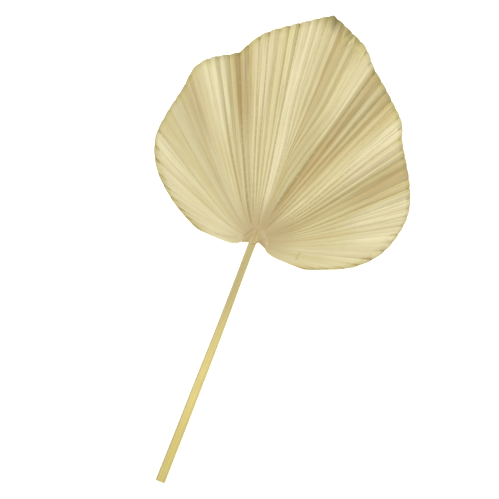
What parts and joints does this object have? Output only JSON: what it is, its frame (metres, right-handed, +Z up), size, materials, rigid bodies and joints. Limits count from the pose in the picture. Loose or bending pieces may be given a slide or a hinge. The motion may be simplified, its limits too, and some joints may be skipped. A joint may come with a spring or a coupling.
{
  "type": "fan palm leaf",
  "caption": "Dried fan palm leaf: a finely pleated blade trimmed to a broad spade shape with one pointed tip, on a long straight stalk cut square, lying face up.",
  "frame": {"origin": "on the surface that the leaf lies on, at the flat strip along the stalk's underside, straight below the hub where the ribs meet", "axes": "+Y runs along the leaf from the hub to the blade's tip, and the stalk runs from the hub towards -Y; +X is to the right of the leaf's face; +Z is up, out of the face"},
  "size_m": [0.264, 0.4968, 0.0193],
  "materials": {
    "blade": "matte",
    "stalk": "satin"
  },
  "bodies": {
    "root": {"leaf_blade": "blade", "leaf_stalk": "stalk"}
  },
  "joints": []
}
